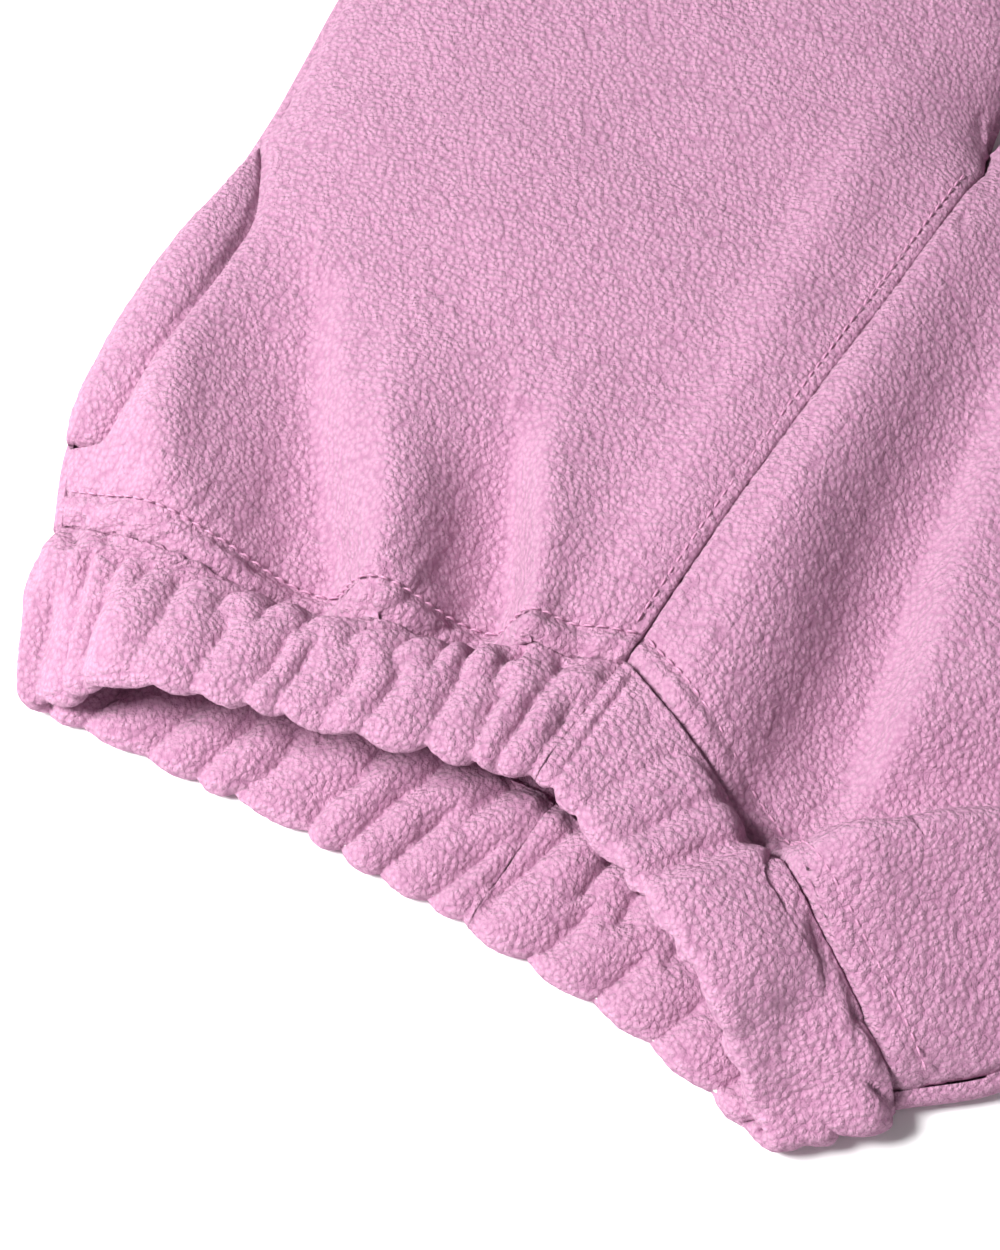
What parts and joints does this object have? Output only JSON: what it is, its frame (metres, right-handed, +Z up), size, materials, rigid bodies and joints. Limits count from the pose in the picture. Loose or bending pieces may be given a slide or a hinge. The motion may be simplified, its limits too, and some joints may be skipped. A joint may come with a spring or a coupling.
{
  "type": "pull-on fleece trousers",
  "caption": "Child's fleece trousers lying flat on their back, front up: elastic waistband held open, side pockets with a rolled facing, legs apart, elastic ankle cuffs.",
  "frame": {"origin": "bottom centre of the bounding box, on the surface the trousers lie on", "axes": "+Z up off the surface, -Y out of the waist opening, +Y towards the ankles, -X the wearer's left"},
  "size_m": [0.4956, 0.5964, 0.0367],
  "materials": {
    "fleece": "brushed pile, matt",
    "pocket_knit": "smooth knit, matt",
    "elastic": "woven elastic, matt",
    "thread": "spun polyester"
  },
  "bodies": {
    "root": {"front_panel_left": "fleece", "back_panel_left": "fleece", "waistband_left": "fleece", "ankle_cuff_left": "fleece", "ankle_elastic_left": "elastic", "ankle_topstitch_left": "thread", "pocket_facing_left": "fleece", "pocket_pouch_left": "pocket_knit", "front_panel_right": "fleece", "back_panel_right": "fleece", "waistband_right": "fleece", "ankle_cuff_right": "fleece", "ankle_elastic_right": "elastic", "ankle_topstitch_right": "thread", "pocket_facing_right": "fleece", "pocket_pouch_right": "pocket_knit", "waist_elastic": "elastic", "waist_topstitch_front": "thread", "waist_topstitch_back": "thread", "centre_front_topstitch": "thread", "centre_back_topstitch": "thread"}
  },
  "joints": []
}
